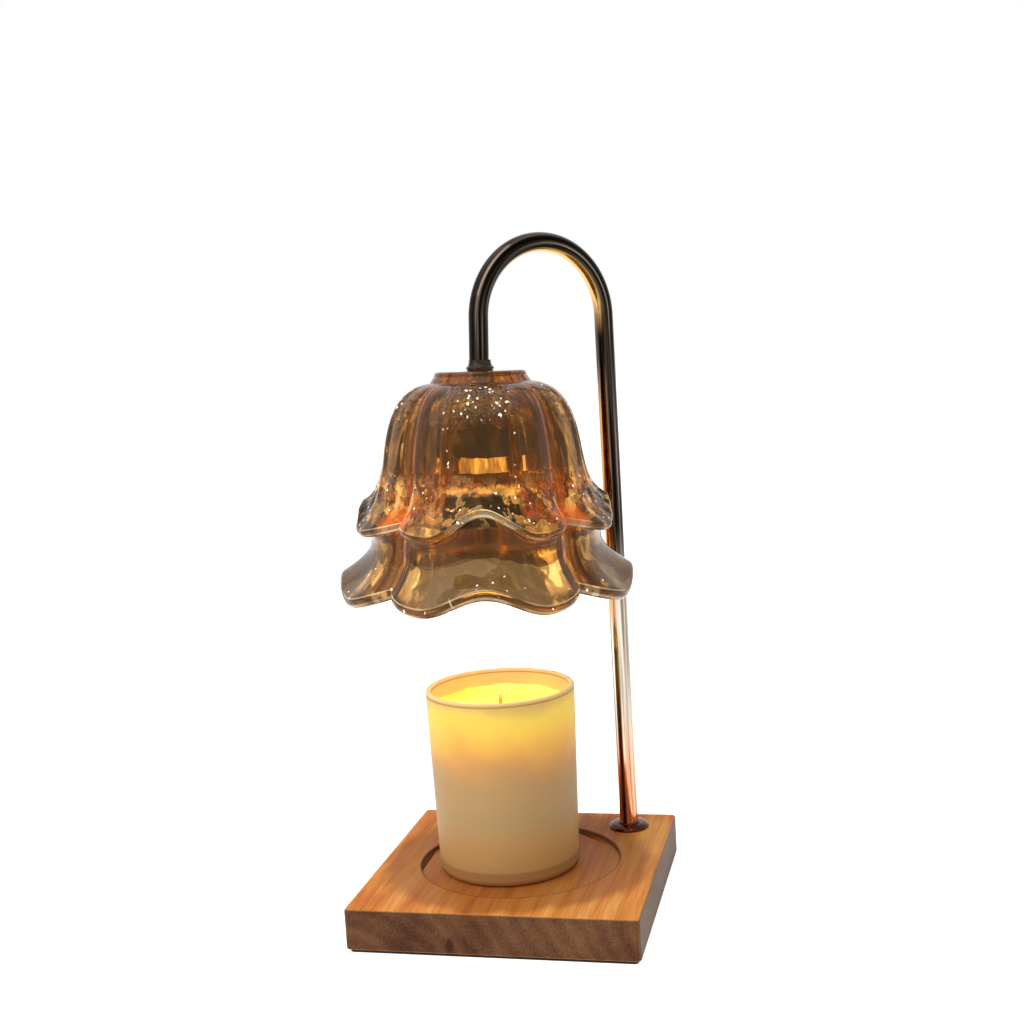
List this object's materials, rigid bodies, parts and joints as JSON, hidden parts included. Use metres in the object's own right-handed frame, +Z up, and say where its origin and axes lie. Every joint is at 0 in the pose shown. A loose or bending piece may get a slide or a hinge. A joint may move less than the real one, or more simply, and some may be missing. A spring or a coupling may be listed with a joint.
{
  "type": "candle warmer lamp",
  "caption": "Candle warmer lamp: ruffled amber glass flower shade on a metal gooseneck above a jar candle, on a square wooden base with a round recess.",
  "frame": {"origin": "centre of the square base on the surface it stands on (underside of the base pad)", "axes": "+Z up; -Y the front of the base; +X to the right; the neck stands in the back right corner (+X +Y)"},
  "size_m": [0.1484, 0.1496, 0.3322],
  "materials": {
    "wood": "satin lacquer",
    "pad": "matte",
    "cover": "matte",
    "screw_steel": "satin",
    "black_nylon": "matte",
    "terminal_nylon": "matte",
    "lead_sleeve": "gloss",
    "neck_chrome": "polished",
    "zinc": "satin",
    "brass": "polished",
    "bracket_steel": "satin",
    "cup_metal": "polished",
    "steatite": "matte",
    "amber_glass": "gloss",
    "bulb_glass": "gloss",
    "reflector": "polished",
    "lens_glass": "gloss",
    "capsule_glass": "gloss",
    "jar_glass": "frosted",
    "wax": "satin",
    "tab_metal": "satin",
    "wick_cotton": "matte"
  },
  "bodies": {
    "base": {"base_board": "wood", "base_pad": "pad", "base_cover": "cover", "cover_screws": "screw_steel", "cord_grommet": "black_nylon", "cord_clamp": "black_nylon", "clamp_screws": "screw_steel", "terminal_block": "terminal_nylon", "terminal_screws": "screw_steel", "block_fixing_screw": "screw_steel", "base_lead": "lead_sleeve"},
    "neck": {"neck_tube": "neck_chrome", "neck_lead": "lead_sleeve", "pole_rosette": "neck_chrome", "pole_washer": "zinc", "pole_spring_washer": "zinc", "pole_nut": "zinc", "neck_cap": "neck_chrome", "shade_nipple": "brass", "shade_washer_top": "neck_chrome", "shade_washer_bottom": "brass", "shade_nut": "brass", "holder_bridge": "bracket_steel", "holder_nut_upper": "zinc", "holder_nut_lower": "zinc", "holder_cup": "cup_metal", "socket_ceramic": "steatite", "socket_screws": "screw_steel", "socket_contacts": "brass"},
    "shade": {"glass_shade": "amber_glass"},
    "bulb": {"bulb_base": "bulb_glass", "bulb_pins": "screw_steel", "bulb_reflector": "reflector", "bulb_lens": "lens_glass", "bulb_capsule": "capsule_glass"},
    "candle": {"candle_jar": "jar_glass", "candle_wax": "wax", "wick_tab": "tab_metal", "candle_wick": "wick_cotton"}
  },
  "joints": [
    {"name": "neck_swivel", "type": "hinge", "parent": "base", "child": "neck", "pos_m": [0.0477, 0.05, 0.0215], "axis": [0, 0, 1], "range_deg": [-45, 45]},
    {"name": "shade_turn", "type": "hinge", "parent": "neck", "child": "shade", "pos_m": [-0.00448, -0.00403, 0.26818], "axis": [0.0218, 0.0226, 0.9995], "continuous": true},
    {"name": "bulb_twist", "type": "hinge", "parent": "neck", "child": "bulb", "pos_m": [-0.00448, -0.00403, 0.26818], "axis": [0.0218, 0.0226, 0.9995], "range_deg": [0, 25]},
    {"name": "candle_lift", "type": "slide", "parent": "base", "child": "candle", "axis": [0, -0.9659, 0.2588], "range_m": [0, 0.12]}
  ]
}
